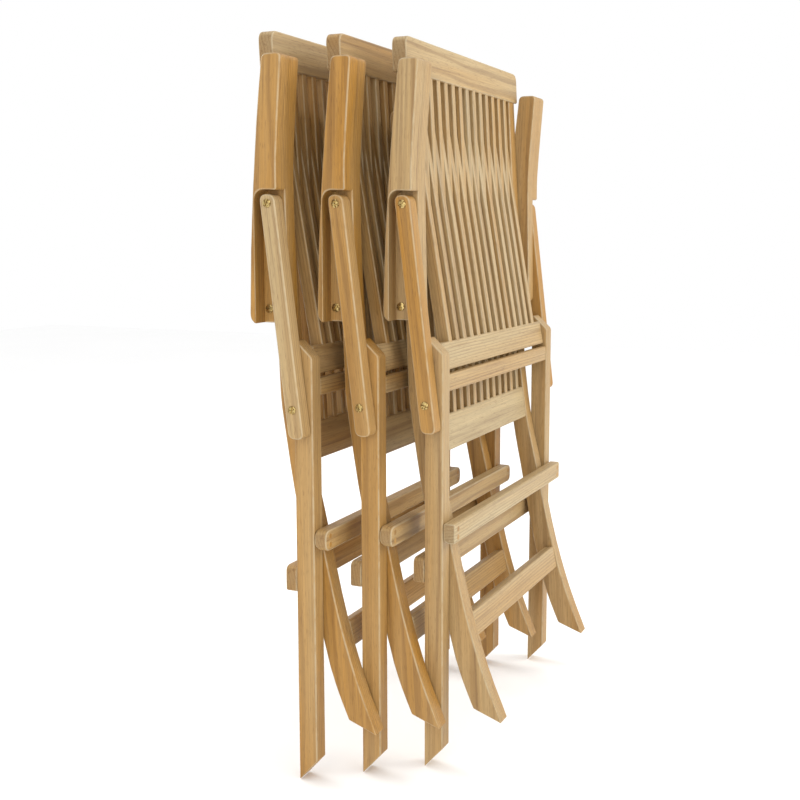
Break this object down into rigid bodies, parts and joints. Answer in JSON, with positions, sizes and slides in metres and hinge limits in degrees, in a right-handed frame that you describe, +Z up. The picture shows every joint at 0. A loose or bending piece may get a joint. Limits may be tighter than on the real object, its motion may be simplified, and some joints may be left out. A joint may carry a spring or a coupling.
{
  "type": "nested folding garden armchairs",
  "caption": "Folding slatted wooden garden armchairs, folded flat and nested in a staggered row, with pivoted arms, links and seats that unfold together.",
  "frame": {"origin": "on the floor, under the middle of the nested row's bounding box", "axes": "+Z up, -Y the way the chairs face, +X the sitter's left"},
  "size_m": [0.659, 0.329, 1.043],
  "materials": {
    "pale_teak": "oiled, pale straw",
    "warm_teak": "oiled, orange brown",
    "brass": "plain brass bolt"
  },
  "bodies": {
    "bolts_2": {"chair_2_pivot_bolt_left": "brass", "chair_2_pivot_bolt_right": "brass"},
    "legs_2": {"chair_2_leg_left": "warm_teak", "chair_2_leg_right": "warm_teak", "chair_2_top_stretcher": "warm_teak", "chair_2_front_brace": "pale_teak", "chair_2_rear_brace": "pale_teak", "chair_2_seat_bolt_left": "brass", "chair_2_seat_bolt_right": "brass"},
    "back_2": {"chair_2_back_stile_left": "warm_teak", "chair_2_back_stile_right": "warm_teak", "chair_2_crest_rail": "pale_teak", "chair_2_back_panel": "warm_teak", "chair_2_front_stretcher": "warm_teak"},
    "seat_2": {"chair_2_seat_panel": "warm_teak", "chair_2_seat_front_rail": "pale_teak"},
    "arms_2": {"chair_2_arm_left": "warm_teak", "chair_2_arm_right": "warm_teak"},
    "links_2": {"chair_2_arm_link_left": "pale_teak", "chair_2_arm_link_right": "pale_teak"},
    "bolts_1": {"chair_1_pivot_bolt_left": "brass", "chair_1_pivot_bolt_right": "brass"},
    "legs_1": {"chair_1_leg_left": "warm_teak", "chair_1_leg_right": "warm_teak", "chair_1_top_stretcher": "warm_teak", "chair_1_front_brace": "pale_teak", "chair_1_rear_brace": "pale_teak", "chair_1_seat_bolt_left": "brass", "chair_1_seat_bolt_right": "brass"},
    "back_1": {"chair_1_back_stile_left": "warm_teak", "chair_1_back_stile_right": "warm_teak", "chair_1_crest_rail": "pale_teak", "chair_1_back_panel": "warm_teak", "chair_1_front_stretcher": "warm_teak"},
    "seat_1": {"chair_1_seat_panel": "warm_teak", "chair_1_seat_front_rail": "pale_teak"},
    "arms_1": {"chair_1_arm_left": "warm_teak", "chair_1_arm_right": "warm_teak"},
    "links_1": {"chair_1_arm_link_left": "pale_teak", "chair_1_arm_link_right": "pale_teak"},
    "bolts_3": {"chair_3_pivot_bolt_left": "brass", "chair_3_pivot_bolt_right": "brass"},
    "legs_3": {"chair_3_leg_left": "warm_teak", "chair_3_leg_right": "warm_teak", "chair_3_top_stretcher": "warm_teak", "chair_3_front_brace": "pale_teak", "chair_3_rear_brace": "pale_teak", "chair_3_seat_bolt_left": "brass", "chair_3_seat_bolt_right": "brass"},
    "back_3": {"chair_3_back_stile_left": "warm_teak", "chair_3_back_stile_right": "warm_teak", "chair_3_crest_rail": "pale_teak", "chair_3_back_panel": "warm_teak", "chair_3_front_stretcher": "warm_teak"},
    "seat_3": {"chair_3_seat_panel": "warm_teak", "chair_3_seat_front_rail": "pale_teak"},
    "arms_3": {"chair_3_arm_left": "warm_teak", "chair_3_arm_right": "warm_teak"},
    "links_3": {"chair_3_arm_link_left": "pale_teak", "chair_3_arm_link_right": "pale_teak"}
  },
  "joints": [
    {"name": "unfold", "type": "hinge", "parent": "bolts_2", "child": "legs_2", "pos_m": [0, 0.004, 0.3255], "axis": [1, 0, 0], "range_deg": [0, 48.5]},
    {"name": "back_recline_2", "type": "hinge", "parent": "bolts_2", "child": "back_2", "pos_m": [0, 0.004, 0.3255], "axis": [1, 0, 0], "range_deg": [-19.1, 0]},
    {"name": "seat_drop_2", "type": "hinge", "parent": "legs_2", "child": "seat_2", "pos_m": [0, 0.0065, 0.598], "axis": [1, 0, 0], "range_deg": [-128.9, 0]},
    {"name": "arms_rise_2", "type": "hinge", "parent": "back_2", "child": "arms_2", "pos_m": [0, 0.0545, 0.672], "axis": [1, 0, 0], "range_deg": [0, 86.9]},
    {"name": "links_turn_2", "type": "hinge", "parent": "arms_2", "child": "links_2", "pos_m": [0, 0.0421, 0.8132], "axis": [1, 0, 0], "range_deg": [-101.8, 0]},
    {"name": "set_out_1", "type": "slide", "parent": "bolts_2", "child": "bolts_1", "axis": [0, 1, 0], "range_m": [0, 0.68]},
    {"name": "legs_swing_1", "type": "hinge", "parent": "bolts_1", "child": "legs_1", "pos_m": [-0.0555, 0.077, 0.3255], "axis": [1, 0, 0], "range_deg": [0, 48.5]},
    {"name": "back_recline_1", "type": "hinge", "parent": "bolts_1", "child": "back_1", "pos_m": [-0.0555, 0.077, 0.3255], "axis": [1, 0, 0], "range_deg": [-19.1, 0]},
    {"name": "seat_drop_1", "type": "hinge", "parent": "legs_1", "child": "seat_1", "pos_m": [-0.0555, 0.0795, 0.598], "axis": [1, 0, 0], "range_deg": [-128.9, 0]},
    {"name": "arms_rise_1", "type": "hinge", "parent": "back_1", "child": "arms_1", "pos_m": [-0.0555, 0.1275, 0.672], "axis": [1, 0, 0], "range_deg": [0, 86.9]},
    {"name": "links_turn_1", "type": "hinge", "parent": "arms_1", "child": "links_1", "pos_m": [-0.0555, 0.1151, 0.8132], "axis": [1, 0, 0], "range_deg": [-101.8, 0]},
    {"name": "set_out_3", "type": "slide", "parent": "bolts_2", "child": "bolts_3", "axis": [0, -1, 0], "range_m": [0, 0.68]},
    {"name": "legs_swing_3", "type": "hinge", "parent": "bolts_3", "child": "legs_3", "pos_m": [0.0555, -0.069, 0.3255], "axis": [1, 0, 0], "range_deg": [0, 48.5]},
    {"name": "back_recline_3", "type": "hinge", "parent": "bolts_3", "child": "back_3", "pos_m": [0.0555, -0.069, 0.3255], "axis": [1, 0, 0], "range_deg": [-19.1, 0]},
    {"name": "seat_drop_3", "type": "hinge", "parent": "legs_3", "child": "seat_3", "pos_m": [0.0555, -0.0665, 0.598], "axis": [1, 0, 0], "range_deg": [-128.9, 0]},
    {"name": "arms_rise_3", "type": "hinge", "parent": "back_3", "child": "arms_3", "pos_m": [0.0555, -0.0185, 0.672], "axis": [1, 0, 0], "range_deg": [0, 86.9]},
    {"name": "links_turn_3", "type": "hinge", "parent": "arms_3", "child": "links_3", "pos_m": [0.0555, -0.0309, 0.8132], "axis": [1, 0, 0], "range_deg": [-101.8, 0]}
  ],
  "couplings": [
    {"joint": "back_recline_2", "follows": "unfold", "ratio": -0.39381},
    {"joint": "seat_drop_2", "follows": "unfold", "ratio": -2.6577},
    {"joint": "arms_rise_2", "follows": "unfold", "ratio": 1.7911},
    {"joint": "links_turn_2", "follows": "unfold", "ratio": -2.0985},
    {"joint": "set_out_1", "follows": "unfold", "m_per_rad": 0.80332},
    {"joint": "legs_swing_1", "follows": "unfold", "ratio": 1},
    {"joint": "back_recline_1", "follows": "unfold", "ratio": -0.39381},
    {"joint": "seat_drop_1", "follows": "unfold", "ratio": -2.6577},
    {"joint": "arms_rise_1", "follows": "unfold", "ratio": 1.7911},
    {"joint": "links_turn_1", "follows": "unfold", "ratio": -2.0985},
    {"joint": "set_out_3", "follows": "unfold", "m_per_rad": 0.80332},
    {"joint": "legs_swing_3", "follows": "unfold", "ratio": 1},
    {"joint": "back_recline_3", "follows": "unfold", "ratio": -0.39381},
    {"joint": "seat_drop_3", "follows": "unfold", "ratio": -2.6577},
    {"joint": "arms_rise_3", "follows": "unfold", "ratio": 1.7911},
    {"joint": "links_turn_3", "follows": "unfold", "ratio": -2.0985}
  ]
}
